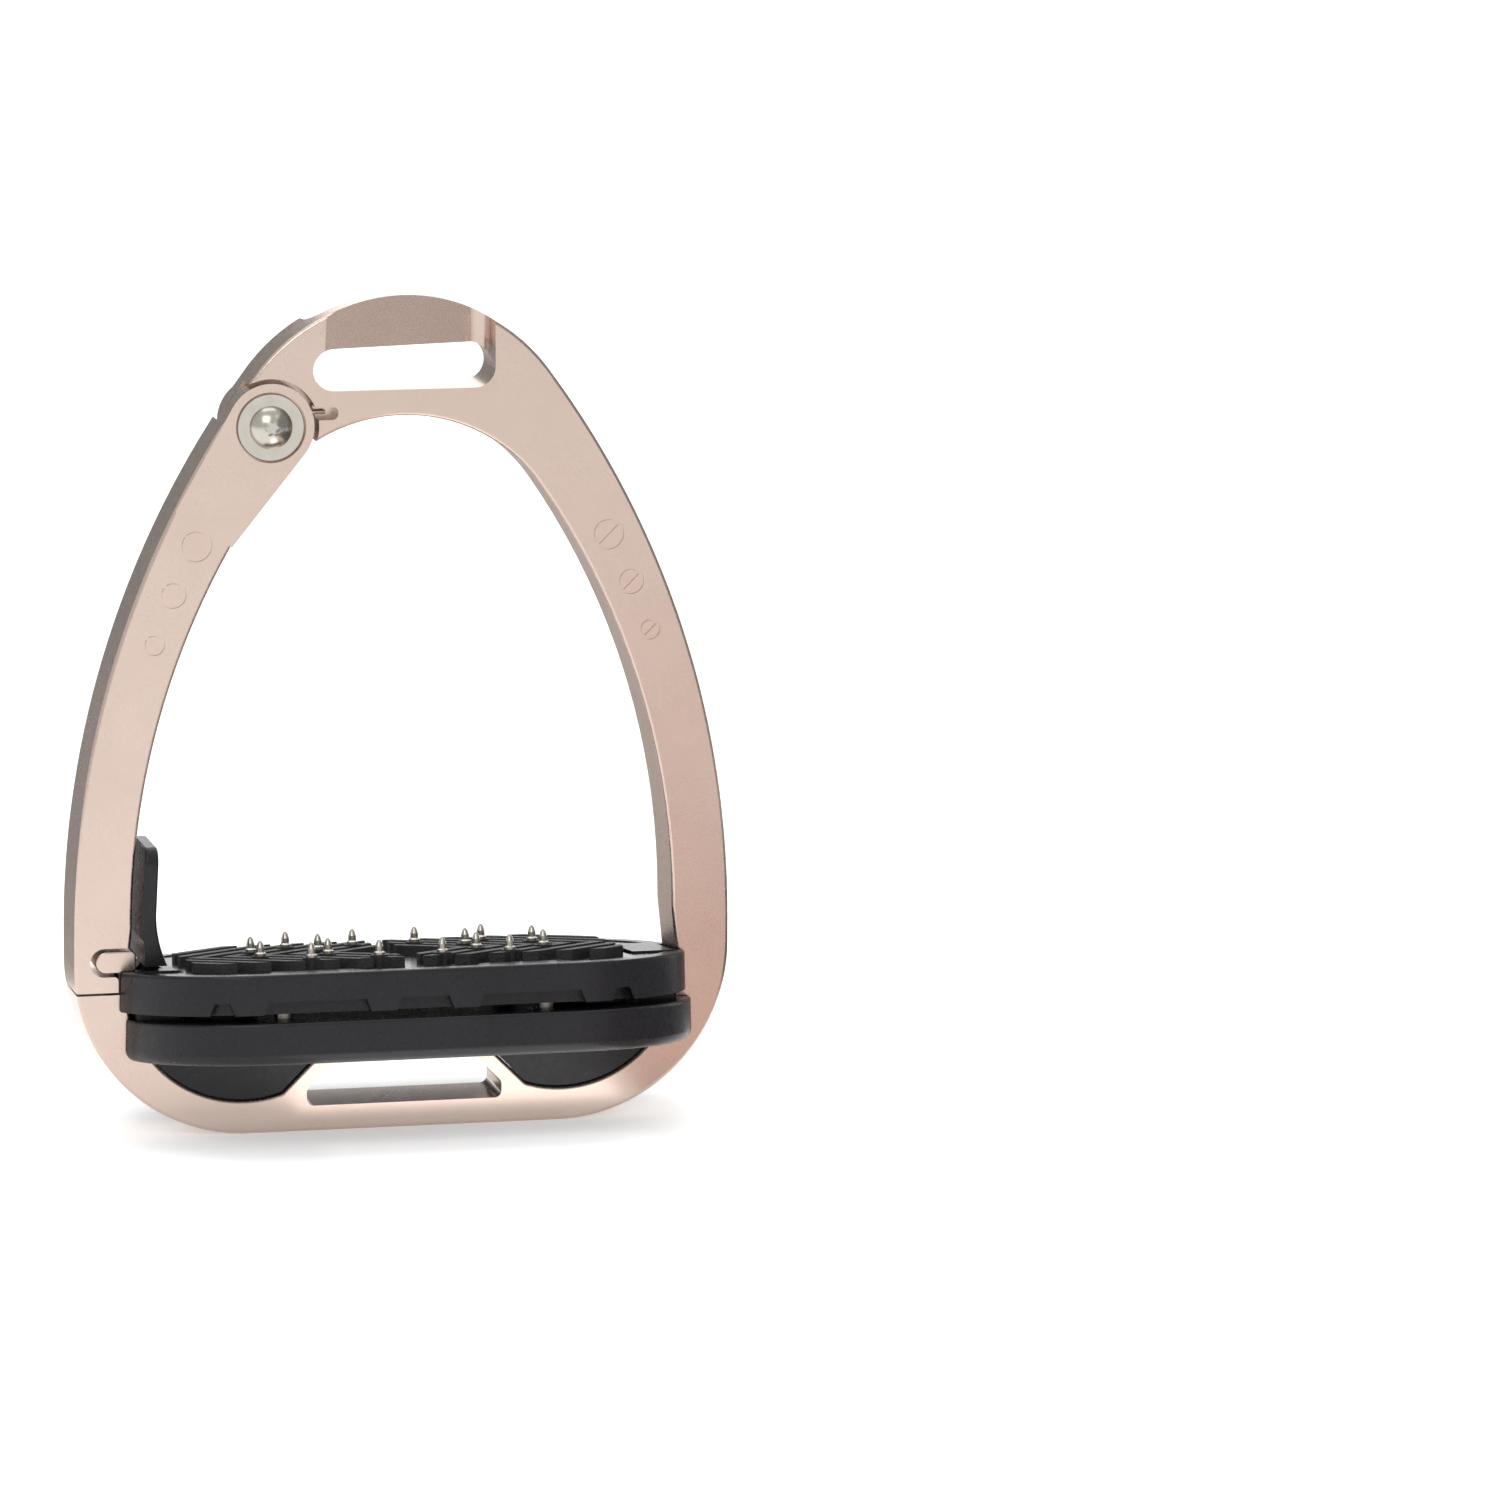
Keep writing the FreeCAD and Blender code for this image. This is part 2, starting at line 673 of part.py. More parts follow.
def both_sides(places):
    """Places on the right half and their mirror images."""
    return [(side * x, y) for x, y in places for side in (-1, 1)]


def tread_base():
    body = base_plan(0, *BASE_Z)
    low = [edge for edge in body.Edges if abs(middle(edge).z - BASE_Z[0]) < 0.01]
    body = body.makeFillet(BASE_ROUND, low)
    deck_bottom = BASE_Z[1] - BASE_DECK
    body = body.cut(base_plan(-BASE_SKIRT, BASE_Z[0] - SKIN, deck_bottom))
    high = [edge for edge in body.Edges if abs(middle(edge).z - BASE_Z[1]) < 0.01]
    body = body.makeFillet(EDGE_ROUND, high)
    for side in (-1, 1):
        x = sorted((side * POST_X[0], side * POST_X[1]))
        post = box(x, (-POST_HALF_Y, POST_HALF_Y), (deck_bottom, POST_TOP))
        body = body.fuse(post)
    for x in (-BASE_SCREW_X, BASE_SCREW_X):
        body = body.cut(rod_z((x, 0), BASE_SCREW_R, -REACH, REACH))
        body = body.cut(rod_z((x, 0), BASE_SCREW_HEAD_R + LAP_GAP, BASE_SCREW_HEAD_LOW, 0))
    for place in both_sides(GUIDE_PLACES):
        body = body.cut(rod_z(place, GUIDE_R + RUNNING_FIT, -REACH, REACH))
    body = tilted(body).cut(branch_room()).cut(tongue_room())
    pocket = box(
        FOOT_POCKET_X,
        (-FOOT_POCKET_HALF_Y, FOOT_POCKET_HALF_Y),
        (FOOT_POCKET_Z, 2 * RIM_Z),
    )
    body = body.cut(pocket)
    return body.cut(rod_y(PIN, PIN_R, -PIN_HALF_Y, PIN_HALF_Y)).removeSplitter()


def base_screws():
    screws = []
    for x in (-BASE_SCREW_X, BASE_SCREW_X):
        head_top = BASE_SCREW_HEAD_LOW + BASE_SCREW_HEAD
        head = rod_z((x, 0), BASE_SCREW_HEAD_R, BASE_SCREW_HEAD_LOW, head_top)
        shank = rod_z((x, 0), BASE_SCREW_R, BASE_SCREW_TIP, BASE_SCREW_HEAD_LOW)
        screws.append(head.fuse(shank).removeSplitter())
    return tilted(Part.makeCompound(screws))


def level_prism(places, z_low, z_high):
    """Polygon drawn in plan, x and y, as a level slab."""
    corners = [V(x, y, z_low) for x, y in places]
    wire = Part.makePolygon(corners + corners[:1])
    return Part.Face(wire).extrude(V(0, 0, z_high - z_low))


def plate_plan(grow, z_low, z_high):
    """Plan of the grip plate: clear of the rim, tabs and end posts."""
    inner = tread_plan(grow - PLATE_MARGIN, z_low, z_high)
    tail_half = PLATE_REAR_HALF + grow
    tail = box((-tail_half, tail_half), (0, REACH), (z_low, z_high))
    inner = inner.fuse(tail.common(tread_plan(grow, z_low, z_high)))
    front = TRAY_FRONT + PLATE_MARGIN - grow
    for side in (-1, 1):
        low, high = TAB_X
        tab = level_prism(
            [
                (side * (low - TAB_FLANK - grow), front - SKIN),
                (side * (high + TAB_FLANK - grow), front - SKIN),
                (side * (high - grow), front + TAB_DEPTH),
                (side * (low + grow), front + TAB_DEPTH),
            ],
            z_low,
            z_high,
        )
        inner = inner.cut(tab)
        x = sorted((side * (POST_X[0] - POST_ROOM + grow), side * REACH))
        room = POST_HALF_Y + POST_ROOM - grow
        inner = inner.cut(box(x, (-room, room), (z_low, z_high)))
    return inner.removeSplitter()


def bays():
    """Recesses round the tray's lower edge that leave the tapered teeth."""
    cuts = []
    for low, high in BAY_X:
        places = [
            (low - BAY_FLANK, TOOTH_BOTTOM - SKIN),
            (high + BAY_FLANK, TOOTH_BOTTOM - SKIN),
            (high, NOTCH_TOP),
            (low, NOTCH_TOP),
        ]
        cuts.append(slab(polygon(places), -REACH, REACH))
    for side in (-1, 1):
        low, high = sorted((side * END_NOTCH_X[0], side * END_NOTCH_X[1]))
        places = [
            (low - SKIN, TOOTH_BOTTOM - SKIN),
            (high + SKIN, TOOTH_BOTTOM - SKIN),
            (high - SKIN / 2, NOTCH_TOP),
            (low + SKIN / 2, NOTCH_TOP),
        ]
        cuts.append(slab(polygon(places), -REACH, REACH))
    return fused(cuts).cut(tread_plan(-BAY_DEPTH, TOOTH_BOTTOM - 2 * SKIN, 0))


def tread_tray():
    body = tread_plan(0, TOOTH_BOTTOM, 0)
    rim = [edge for edge in body.Edges if abs(middle(edge).z) < 0.01]
    body = body.makeFillet(EDGE_ROUND, rim)
    body = body.cut(tread_plan(-TRAY_WALL, TOOTH_BOTTOM - SKIN, FLOOR_Z[0]))
    body = body.cut(bays())
    for place in both_sides(GUIDE_PLACES):
        body = body.fuse(rod_z(place, GUIDE_BOSS_R, TOOTH_BOTTOM, FLOOR_Z[0]))
        body = body.cut(rod_z(place, GUIDE_R, -REACH, GUIDE_TOP + 2 * SKIN))
    body = body.cut(plate_plan(PLATE_FIT, FLOOR_Z[1], SKIN))
    for side in (-1, 1):
        x = sorted((side * (POST_X[0] - POST_ROOM), side * OPEN_HALF))
        room = POST_HALF_Y + POST_ROOM
        body = body.cut(box(x, (-room, room), (-REACH, REACH)))
    for place in both_sides([PLATE_SCREW]):
        body = body.cut(rod_z(place, PLATE_SCREW_R, -PLATE_SCREW_LENGTH, SKIN))
    return tilted(body).cut(branch_room()).cut(tongue_room()).removeSplitter()


def screw_head(place):
    """Countersunk head, flush with the plate."""
    depth = PLATE_SCREW_HEAD_R - PLATE_SCREW_R
    cone = Part.makeCone(PLATE_SCREW_R, PLATE_SCREW_HEAD_R, depth)
    cone.translate(V(place[0], place[1], PLATE_TOP - depth))
    return cone


def grip_plate():
    body = plate_plan(0, FLOOR_Z[1], PLATE_TOP)
    for place in both_sides([PLATE_SCREW]):
        body = body.cut(rod_z(place, PLATE_SCREW_R, -REACH, REACH)).cut(screw_head(place))
    for x, y in STUD_PLACES:
        for place in both_sides([(x, y), (x, -y)]):
            body = body.cut(rod_z(place, STUD_R, -REACH, REACH))
    return tilted(body)


def rib_arm(vertex, side):
    """One slanting rib from a vertex on the middle line towards the centre."""
    reach = RIB_Y[1] if side > 0 else -RIB_Y[0]
    half = RIB_WIDTH / math.sqrt(2)
    places = [
        (vertex - half, 0),
        (vertex + half, 0),
        (vertex + half - reach, side * reach),
        (vertex - half - reach, side * reach),
    ]
    return level_prism(places, PLATE_TOP, RIB_TOP)


def rib_row(vertex):
    field = box(RIB_X, RIB_Y, (PLATE_TOP, RIB_TOP))
    return fused([rib_arm(vertex, -1), rib_arm(vertex, 1)]).common(field)


def grip_ribs():
    rows = [rib_row(step * RIB_PITCH) for step in RIB_VERTICES]
    for x, y in STUD_PLACES:
        for side in (-1, 1):
            rows.append(rod_z((x, side * y), BOSS_R, PLATE_TOP, BOSS_TOP))
    half = fused(rows)
    for x, y in STUD_PLACES:
        for side in (-1, 1):
            half = half.cut(rod_z((x, side * y), STUD_R, PLATE_TOP, BOSS_TOP))
    return tilted(Part.makeCompound(half.Solids + mirrored(half).Solids))


def stud(place):
    """Bullet-pointed pin with a small collar, set through rib and plate."""
    profile = [
        (0, FLOOR_Z[1]),
        (STUD_R, FLOOR_Z[1]),
        (STUD_R, BOSS_TOP),
        (STUD_COLLAR_R, BOSS_TOP),
        (STUD_COLLAR_R, BOSS_TOP + STUD_COLLAR),
        (STUD_R, BOSS_TOP + STUD_COLLAR * 1.6),
        (STUD_R, STUD_TOP - STUD_TIP),
        (STUD_R * 2 / 3, STUD_TOP - STUD_TIP / 3),
        (STUD_R / 4, STUD_TOP),
        (0, STUD_TOP),
    ]
    body = closed(polygon(profile)).revolve(V(0, 0, 0), V(0, 0, 1), 360)
    body.translate(V(place[0], place[1], 0))
    return body


def grip_studs():
    studs = []
    for x, y in STUD_PLACES:
        for place in both_sides([(x, y), (x, -y)]):
            studs.append(stud(place))
    return tilted(Part.makeCompound(studs))


def plate_screws():
    screws = []
    for place in both_sides([PLATE_SCREW]):
        depth = PLATE_SCREW_HEAD_R - PLATE_SCREW_R
        shank = rod_z(place, PLATE_SCREW_R, -PLATE_SCREW_LENGTH, PLATE_TOP - depth)
        drive = rod_z(place, PLATE_SCREW_DRIVE_R, PLATE_TOP - depth / 2, SKIN)
        screws.append(screw_head(place).fuse(shank).cut(drive).removeSplitter())
    return tilted(Part.makeCompound(screws))


def tray_shoulder_screws():
    """Screws that hang from the tray and slide in the carrier's holes."""
    screws = []
    head_top = BASE_Z[1] - BASE_DECK - RUNNING_FIT
    for place in both_sides(GUIDE_PLACES):
        head = rod_z(place, GUIDE_HEAD_R, head_top - GUIDE_HEAD, head_top)
        screws.append(head.fuse(rod_z(place, GUIDE_R, head_top, GUIDE_TOP)).removeSplitter())
    return tilted(Part.makeCompound(screws))


def damper_pads():
    pads = [rod_z(place, PAD_R, BASE_Z[1], FLOOR_Z[0]) for place in both_sides(PAD_PLACES)]
    rounded = [pad.makeFillet(PAD_ROUND, [pad.Edges[0], pad.Edges[2]]) for pad in pads]
    return tilted(Part.makeCompound(rounded))


def release_lever():
    """Upright paddle with a flared base and a foot on the pin."""
    relief_x, low_x, top_x = LEVER_FACE_X
    back_x, waist_x, base_x = LEVER_BACK_X
    spread, rise = base_x - waist_x, LEVER_WAIST - LEVER_BOTTOM
    flare_r = (spread ** 2 + rise ** 2) / (2 * spread)
    flare_turn = math.degrees(math.asin(rise / flare_r))
    edges = [
        line((relief_x, LEVER_BOTTOM), (relief_x, LEVER_RELIEF_TOP)),
        line((relief_x, LEVER_RELIEF_TOP), (low_x, LEVER_RELIEF_TOP + SKIN)),
        line((low_x, LEVER_RELIEF_TOP + SKIN), (top_x, LEVER_TOP)),
        line((top_x, LEVER_TOP), (back_x, LEVER_TOP)),
        line((back_x, LEVER_TOP), (waist_x, LEVER_WAIST)),
        arc((waist_x + flare_r, LEVER_WAIST), flare_r, 180, 180 + flare_turn),
        line((base_x, LEVER_BOTTOM), (relief_x, LEVER_BOTTOM)),
    ]
    body = slab(edges, -LEVER_HALF_Y, LEVER_HALF_Y)
    corners = [
        edge
        for edge in body.Edges
        if middle(edge).z > LEVER_TOP - 0.01 and abs(middle(edge).y) > LEVER_HALF_Y - 0.01
    ]
    body = body.makeFillet(LEVER_TOP_ROUND, corners)
    sides = [
        edge
        for edge in body.Edges
        if not along_y(edge) and middle(edge).z > LEVER_RELIEF_TOP + 2 * SKIN
    ]
    body = body.makeFillet(LEVER_EDGE_ROUND, sides)
    foot = rod_y(PIN, FOOT_R, -FOOT_HALF_Y, FOOT_HALF_Y)
    shank = box(
        (PIN[0] - PIN_R - RUNNING_FIT, PIN[0] + FOOT_R),
        (-FOOT_HALF_Y, FOOT_HALF_Y),
        (PIN[1], LEVER_BOTTOM + SKIN),
    )
    body = fused([body, foot, shank])
    return body.cut(rod_y(PIN, PIN_R + RUNNING_FIT, -REACH, REACH))


def lever_pin():
    return rod_y(PIN, PIN_R, -PIN_HALF_Y, PIN_HALF_Y)


def lever_spring():
    points = coil_points(LEVER_COIL_R, LEVER_COIL_PITCH, LEVER_COIL_TURNS, 0, LEVER_COIL_Y)
    return bent_wire(points, LEVER_WIRE_R, PIN)


def main():
    full = blank()
    insert = pocket_insert()
    nodes = {
        "frame": frame(full),
        "release_arm": release_arm(full),
        "hinge_screw": hinge_screw(),
        "hinge_washer": hinge_washer(),
        "hinge_bush": hinge_bush(),
        "return_spring": return_spring(),
        "latch_tongue": latch_tongue(),
        "release_lever": release_lever(),
        "lever_pin": lever_pin(),
        "lever_spring": lever_spring(),
        "pocket_insert_left": mirrored(insert),
        "pocket_insert_right": insert,
        "tread_base": tread_base(),
        "base_screws": base_screws(),
        "tread_tray": tread_tray(),
        "grip_plate": grip_plate(),
        "grip_ribs": grip_ribs(),
        "grip_studs": grip_studs(),
        "plate_screws": plate_screws(),
        "tray_shoulder_screws": tray_shoulder_screws(),
        "damper_pads": damper_pads(),
    }
    os.makedirs("parts", exist_ok=True)
    for name, shape in nodes.items():
        shape.exportStep("parts/" + name + ".step")


main()
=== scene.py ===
import json
import math

import bpy
from mathutils import Euler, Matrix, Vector


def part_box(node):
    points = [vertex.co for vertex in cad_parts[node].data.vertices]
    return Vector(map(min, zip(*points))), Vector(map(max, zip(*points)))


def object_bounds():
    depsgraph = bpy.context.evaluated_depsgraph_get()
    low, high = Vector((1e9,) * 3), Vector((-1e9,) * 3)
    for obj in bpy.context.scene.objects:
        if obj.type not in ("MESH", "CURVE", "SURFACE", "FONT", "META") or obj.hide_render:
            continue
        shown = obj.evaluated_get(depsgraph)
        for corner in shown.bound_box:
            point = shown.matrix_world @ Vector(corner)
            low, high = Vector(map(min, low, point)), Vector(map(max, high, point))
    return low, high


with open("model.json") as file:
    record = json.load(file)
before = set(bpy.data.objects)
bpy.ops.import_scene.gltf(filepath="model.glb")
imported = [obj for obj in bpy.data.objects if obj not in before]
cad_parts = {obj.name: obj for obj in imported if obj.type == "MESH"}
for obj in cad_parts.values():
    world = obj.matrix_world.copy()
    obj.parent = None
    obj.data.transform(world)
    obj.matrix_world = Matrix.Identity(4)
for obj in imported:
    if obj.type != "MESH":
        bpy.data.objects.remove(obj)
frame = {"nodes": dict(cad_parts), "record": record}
CAD_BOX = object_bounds()

MM = 0.001

# Camera: a long lens, in front of the stirrup, to its left and a little above
LENS_MM = 216.0
SENSOR_MM = 36.0
CLIP_END = 20
HEADING = math.radians(13.58)
PITCH = math.radians(10.28)
ROLL = math.radians(0.385)
STAND = (-366.4 * MM, -1826.2 * MM, 419.2 * MM)

# Studio
FLOOR_HALF = 4.0
WALL_DISTANCE = 2.4
WALL_HEIGHT = 3.0
COVE = 0.8
COVE_STEPS = 16
PAPER_WHITE = (0.9, 0.9, 0.9)
PAPER_ROUGHNESS = 0.8
PAPER_GLOW = 0.33
FIBRE_SIZE = 0.3
FIBRE_SHADE = 0.985
CARD_Z = 0.002
CARD_ROUGHNESS = 0.9
AIR_STRENGTH = 0.71
LIT_POINT = (0, 0, 0.09)
BACKDROP_POINT = (0, 2.2, 0.9)

# The part of a noise's range that is stretched to full contrast
NOISE_LOW = 0.3
NOISE_HIGH = 0.7

# Finishes
METAL_BUMP = 0.3
PLASTIC_BUMP = 0.4
PLASTIC_CLOUD = 18 * MM
PLASTIC_SPREAD = 0.08
GRIT_CELL = 0.55 * MM
GRIT_CELL_DEPTH = 0.15 * MM
GRIT_CELL_BUMP = 0.55


def node_tree(name):
    """A new material with its shader, and its object coordinates."""
    material = bpy.data.materials.new(name)
    material.use_nodes = True
    nodes = material.node_tree.nodes
    shader = nodes["Principled BSDF"]
    place = nodes.new("ShaderNodeTexCoord").outputs["Object"]
    return material, shader, place


def noise(material, place, size, detail=3.0, rough=0.55):
    """Noise with grains about size metres wide."""
    node = material.node_tree.nodes.new("ShaderNodeTexNoise")
    node.inputs["Scale"].default_value = 1.0 / size
    node.inputs["Detail"].default_value = detail
    node.inputs["Roughness"].default_value = rough
    material.node_tree.links.new(place, node.inputs["Vector"])
    return node.outputs["Fac"]


def mapped(material, value, low, high):
    """Stretches the middle of a noise's range to the range low to high."""
    node = material.node_tree.nodes.new("ShaderNodeMapRange")
    node.inputs["From Min"].default_value = NOISE_LOW
    node.inputs["From Max"].default_value = NOISE_HIGH
    node.inputs["To Min"].default_value = low
    node.inputs["To Max"].default_value = high
    material.node_tree.links.new(value, node.inputs["Value"])
    return node.outputs["Result"]


def blended(material, value, first, second):
    """Colour that runs from first to second as the noise rises."""
    node = material.node_tree.nodes.new("ShaderNodeValToRGB")
    node.color_ramp.elements[0].position = NOISE_LOW
    node.color_ramp.elements[1].position = NOISE_HIGH
    node.color_ramp.elements[0].color = (*first, 1)
    node.color_ramp.elements[1].color = (*second, 1)
    material.node_tree.links.new(value, node.inputs["Fac"])
    return node.outputs["Color"]


def bumped(material, shader, value, depth, strength):
    """Relief of a given depth in metres; returns its node."""
    node = material.node_tree.nodes.new("ShaderNodeBump")
    node.inputs["Distance"].default_value = depth
    node.inputs["Strength"].default_value = strength
    material.node_tree.links.new(value, node.inputs["Height"])
    material.node_tree.links.new(node.outputs["Normal"], shader.inputs["Normal"])
    return node


def metal(name, dark, light, rough, cloud, grain, depth):
    """Bare or anodised metal; cloud and grain are a size and a detail each."""
    material, shader, place = node_tree(name)
    links = material.node_tree.links
    colour = noise(material, place, *cloud)
    skin = noise(material, place, *grain)
    links.new(blended(material, colour, dark, light), shader.inputs["Base Color"])
    links.new(mapped(material, skin, *rough), shader.inputs["Roughness"])
    shader.inputs["Metallic"].default_value = 1.0
    bumped(material, shader, skin, depth, METAL_BUMP)
    return material


def moulded(name, dark, light, gloss, shine, grain_size, depth):
    """Moulded plastic with faint clouding and a fine skin."""
    material, shader, place = node_tree(name)
    links = material.node_tree.links
    cloud = noise(material, place, PLASTIC_CLOUD)
    grain = noise(material, place, grain_size, 1.0)
    links.new(blended(material, cloud, dark, light), shader.inputs["Base Color"])
    links.new(mapped(material, grain, gloss, gloss + PLASTIC_SPREAD), shader.inputs["Roughness"])
    shader.inputs["Specular IOR Level"].default_value = shine
    bumped(material, shader, grain, depth, PLASTIC_BUMP)
    return material


def grit():
    """Rib surface: black with coarse grit cast into it."""
    material, shader, place = node_tree("grit_black_cast")
    tree = material.node_tree
    cloud = noise(material, place, 5 * MM)
    cells = tree.nodes.new("ShaderNodeTexVoronoi")
    cells.inputs["Scale"].default_value = 1.0 / GRIT_CELL
    tree.links.new(place, cells.inputs["Vector"])
    fine = noise(material, place, 0.3 * MM, 4.0, 0.7)
    tree.links.new(
        blended(material, cloud, (0.010, 0.010, 0.011), (0.020, 0.020, 0.021)),
        shader.inputs["Base Color"],
    )
    tree.links.new(mapped(material, fine, 0.45, 0.75), shader.inputs["Roughness"])
    first = bumped(material, shader, fine, 0.12 * MM, 0.6)
    second = tree.nodes.new("ShaderNodeBump")
    second.invert = True
    second.inputs["Distance"].default_value = GRIT_CELL_DEPTH
    second.inputs["Strength"].default_value = GRIT_CELL_BUMP
    tree.links.new(cells.outputs["Distance"], second.inputs["Height"])
    tree.links.new(second.outputs["Normal"], first.inputs["Normal"])
    return material


def finishes():
    """One material for each of the record's material slots."""
    return {
        "rose_alloy": metal(
            "rose_alloy_satin",
            dark=(0.595, 0.475, 0.413),
            light=(0.62, 0.50, 0.437),
            rough=(0.22, 0.29),
            cloud=(14 * MM, 2.0),
            grain=(0.22 * MM, 2.0),
            depth=0.008 * MM,
        ),
        "bright_steel": metal(
            "bright_steel_turned",
            dark=(0.49, 0.465, 0.415),
            light=(0.54, 0.515, 0.46),
            rough=(0.18, 0.30),
            cloud=(3 * MM, 3.0),
            grain=(0.12 * MM, 2.0),
            depth=0.006 * MM,
        ),
        # Spring steel tinted rose-brown in its base colour: a painted reflection of the rose
        # alloy around it, mottled between the two tints by noise.
        "spring_steel": metal(
            "spring_steel_painted_rose_reflection",
            dark=(0.42, 0.33, 0.28),
            light=(0.60, 0.47, 0.40),
            rough=(0.22, 0.36),
            cloud=(1.2 * MM, 3.0),
            grain=(1.2 * MM, 3.0),
            depth=0.01 * MM,
        ),
        "bearing_plastic": moulded(
            "bearing_plastic_cream",
            dark=(0.55, 0.53, 0.47),
            light=(0.62, 0.60, 0.54),
            gloss=0.4,
            shine=0.32,
            grain_size=0.5 * MM,
            depth=0.01 * MM,
        ),
        "gloss_black": moulded(
            "gloss_black_moulded",
            dark=(0.0095, 0.0086, 0.011),
            light=(0.012, 0.011, 0.0138),
            gloss=0.26,
            shine=0.32,
            grain_size=1.4 * MM,
            depth=0.0007 * MM,
        ),
        "plate_black": moulded(
            "plate_black_satin",
            dark=(0.011, 0.011, 0.012),
            light=(0.015, 0.015, 0.016),
            gloss=0.18,
            shine=0.5,
            grain_size=0.5 * MM,
            depth=0.003 * MM,
        ),
        "grit_black": grit(),
        "elastomer": moulded(
            "elastomer_black_matte",
            dark=(0.014, 0.014, 0.014),
            light=(0.022, 0.022, 0.022),
            gloss=0.7,
            shine=0.32,
            grain_size=0.4 * MM,
            depth=0.02 * MM,
        ),
    }


def dress(materials):
    """Gives every CAD node the finish that the record names for it."""
    slots = {row["node"]: row["material_slot"] for row in frame["record"]["subparts"]}
    for name, node in frame["nodes"].items():
        for slot in node.material_slots:
            slot.material = materials[slots[name]]


def paper(name, tint, roughness, glow):
    """Matt card with faint fibre clouds, and a little light of its own."""
    material, shader, place = node_tree(name)
    fibre = noise(material, place, FIBRE_SIZE, 2.0)
    faint = tuple(FIBRE_SHADE * value for value in tint)
    material.node_tree.links.new(
        blended(material, fibre, faint, tint), shader.inputs["Base Color"]
    )
    shader.inputs["Roughness"].default_value = roughness
    shader.inputs["Emission Color"].default_value = (1, 1, 1, 1)
    shader.inputs["Emission Strength"].default_value = glow
    return material


def sweep():
    """Pale floor that curves up into the backdrop."""
    cove_start = WALL_DISTANCE - COVE
    profile = [(-FLOOR_HALF, 0.0), (cove_start, 0.0)]
    for step in range(1, COVE_STEPS + 1):
        turn = math.radians(90 * step / COVE_STEPS)
        profile.append((cove_start + COVE * math.sin(turn), COVE * (1 - math.cos(turn))))
    profile.append((WALL_DISTANCE, WALL_HEIGHT))
    vertices = [(x, y, z) for x in (-FLOOR_HALF, FLOOR_HALF) for y, z in profile]
    count = len(profile)
    faces = [(i, i + 1, count + i + 1, count + i) for i in range(count - 1)]
    mesh = bpy.data.meshes.new("studio_sweep")
    mesh.from_pydata(vertices, [], faces)
    mesh.materials.append(paper("studio_paper", PAPER_WHITE, PAPER_ROUGHNESS, PAPER_GLOW))
    floor = bpy.data.objects.new("studio_sweep", mesh)
    for face in mesh.polygons:
        face.use_smooth = True
    bpy.context.collection.objects.link(floor)


def flag(name, corner, across, up, tint, glow=0.0):
    """Card that only reflections see, like a studio flag out of shot."""
    corner, across, up = Vector(corner), Vector(across), Vector(up)
    mesh = bpy.data.meshes.new(name)
    corners = [corner, corner + across, corner + across + up, corner + up]
    mesh.from_pydata([tuple(place) for place in corners], [], [(0, 1, 2, 3)])
    mesh.materials.append(paper(name, tint, CARD_ROUGHNESS, glow))
    card = bpy.data.objects.new(name, mesh)
    card.visible_camera = False
    card.visible_diffuse = False
    card.visible_shadow = False
    bpy.context.collection.objects.link(card)


def floor_card(name, x, y, tint, glow=0.0):
    """Card that lies on the floor between two values of x and of y."""
    flag(name, (x[0], y[0], CARD_Z), (x[1] - x[0], 0, 0), (0, y[1] - y[0], 0), tint, glow)


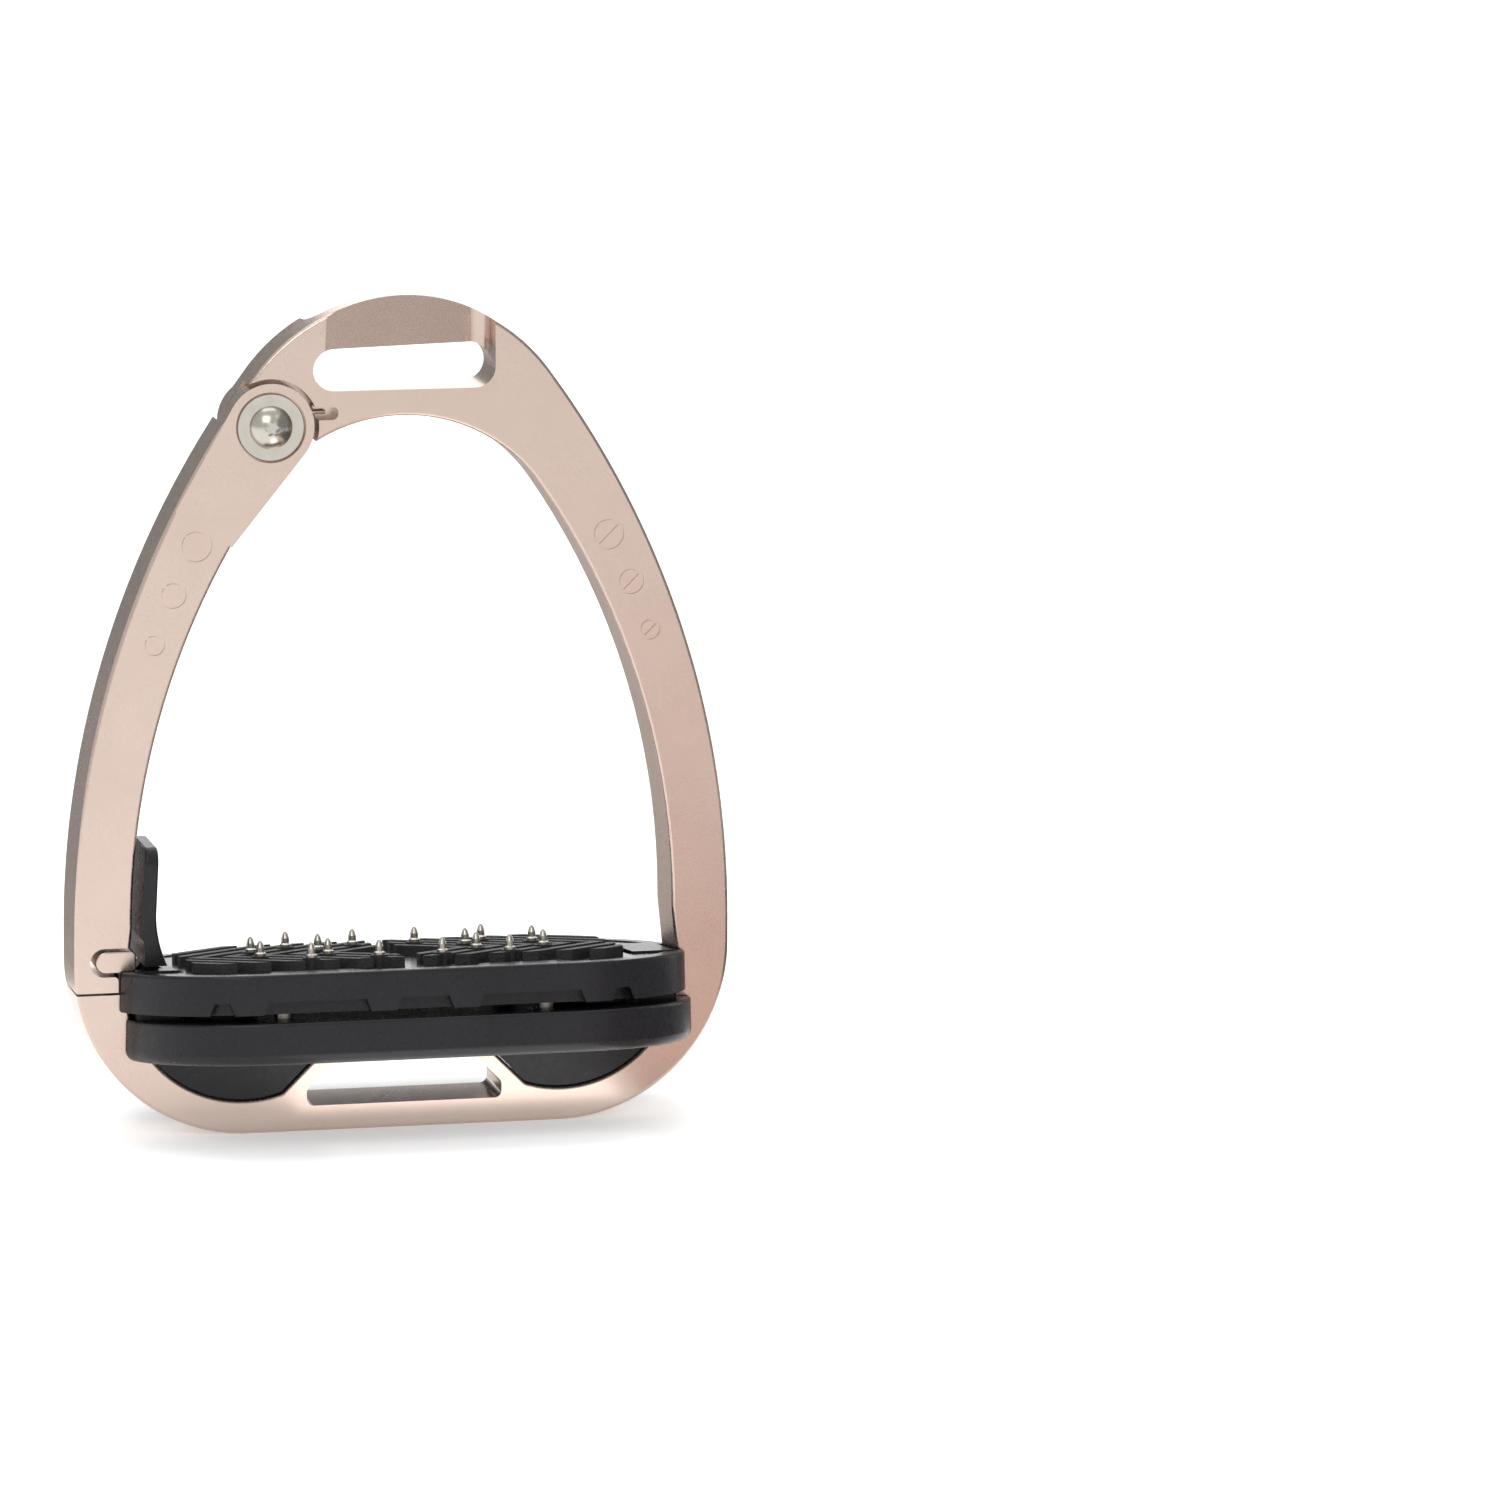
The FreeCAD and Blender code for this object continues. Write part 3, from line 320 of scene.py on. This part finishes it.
def flags():
    """Cards that shade or light what the metal and the plastic mirror."""
    floor_card("flag_floor_left", (-1.6, -0.1), (0.12, 1.5), (0.23, 0.22, 0.22))
    floor_card("flag_floor_middle", (-0.1, 0.2), (0.12, 1.5), (0.41, 0.38, 0.36))
    floor_card("flag_floor_right", (0.40, 0.9), (-1.2, -0.3), (0.52, 0.46, 0.44))
    floor_card("flag_warm_high", (0.09, 0.40), (-0.6, -0.35), (0.83, 0.68, 0.64))
    floor_card("flag_warm_low", (0.055, 0.13), (-0.35, -0.02), (0.80, 0.61, 0.55))
    floor_card("flag_near_right", (0.13, 0.6), (-0.26, 0.12), (0.10, 0.10, 0.10))
    floor_card("reflector_front", (-0.02, 0.05), (-0.12, -0.02), (0.9, 0.84, 0.80), 1.8)
    floor_card("reflector_front_left", (-0.12, -0.02), (-0.12, -0.02), (0.9, 0.88, 0.87), 0.4)
    floor_card("reflector_left", (-1.2, -0.25), (-0.35, 0.05), (0.9, 0.9, 0.9), 0.4)
    flag("flag_wall_left", (-1.6, 1.55, 0.0), (1.6, 0, 0), (0, 0, 1.2), (0.20, 0.20, 0.20))
    flag("flag_right", (0.9, -1.3, 0.0), (0, 1.7, 0), (0, 0, 1.2), (0.25, 0.25, 0.25))


def lamp(name, place, target, size, power):
    """Rectangular area light at a place, turned to its target."""
    data = bpy.data.lights.new(name, "AREA")
    data.shape = "RECTANGLE"
    data.size, data.size_y = size
    data.energy = power
    light = bpy.data.objects.new(name, data)
    light.location = place
    light.rotation_euler = (Vector(target) - Vector(place)).to_track_quat("-Z", "Y").to_euler()
    bpy.context.collection.objects.link(light)


def lights():
    """Even white air, three soft lamps on the stirrup and one on the backdrop."""
    world = bpy.data.worlds.new("studio_air")
    world.use_nodes = True
    air = world.node_tree.nodes["Background"]
    air.inputs["Color"].default_value = (1.0, 1.0, 1.0, 1)
    air.inputs["Strength"].default_value = AIR_STRENGTH
    bpy.context.scene.world = world
    lamp("key", (-0.7, -1.6, 1.5), LIT_POINT, (1.2, 1.2), 9)
    lamp("fill", (1.4, -1.2, 1.3), LIT_POINT, (1.0, 1.4), 3)
    lamp("top", (0.0, 0.3, 2.0), LIT_POINT, (1.6, 1.2), 10)
    lamp("backdrop", (0.0, 1.0, 1.9), BACKDROP_POINT, (2.6, 0.8), 22)


def camera():
    """Stands off the front of the frame's foot, looking along the heading."""
    data = bpy.data.cameras.new("photo_camera")
    data.lens = LENS_MM
    data.sensor_width = SENSOR_MM
    data.clip_end = CLIP_END
    view = bpy.data.objects.new("photo_camera", data)
    low, high = CAD_BOX
    foot = Vector(((low[0] + high[0]) / 2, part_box("frame")[0][1], low[2]))
    turn = Euler((math.pi / 2 - PITCH, 0, -HEADING), "XYZ").to_matrix()
    view.rotation_euler = (turn @ Euler((0, 0, ROLL), "XYZ").to_matrix()).to_euler()
    view.location = foot + Vector(STAND)
    bpy.context.collection.objects.link(view)
    bpy.context.scene.camera = view


bpy.context.scene.view_settings.view_transform = "Standard"
dress(finishes())
sweep()
flags()
lights()
camera()
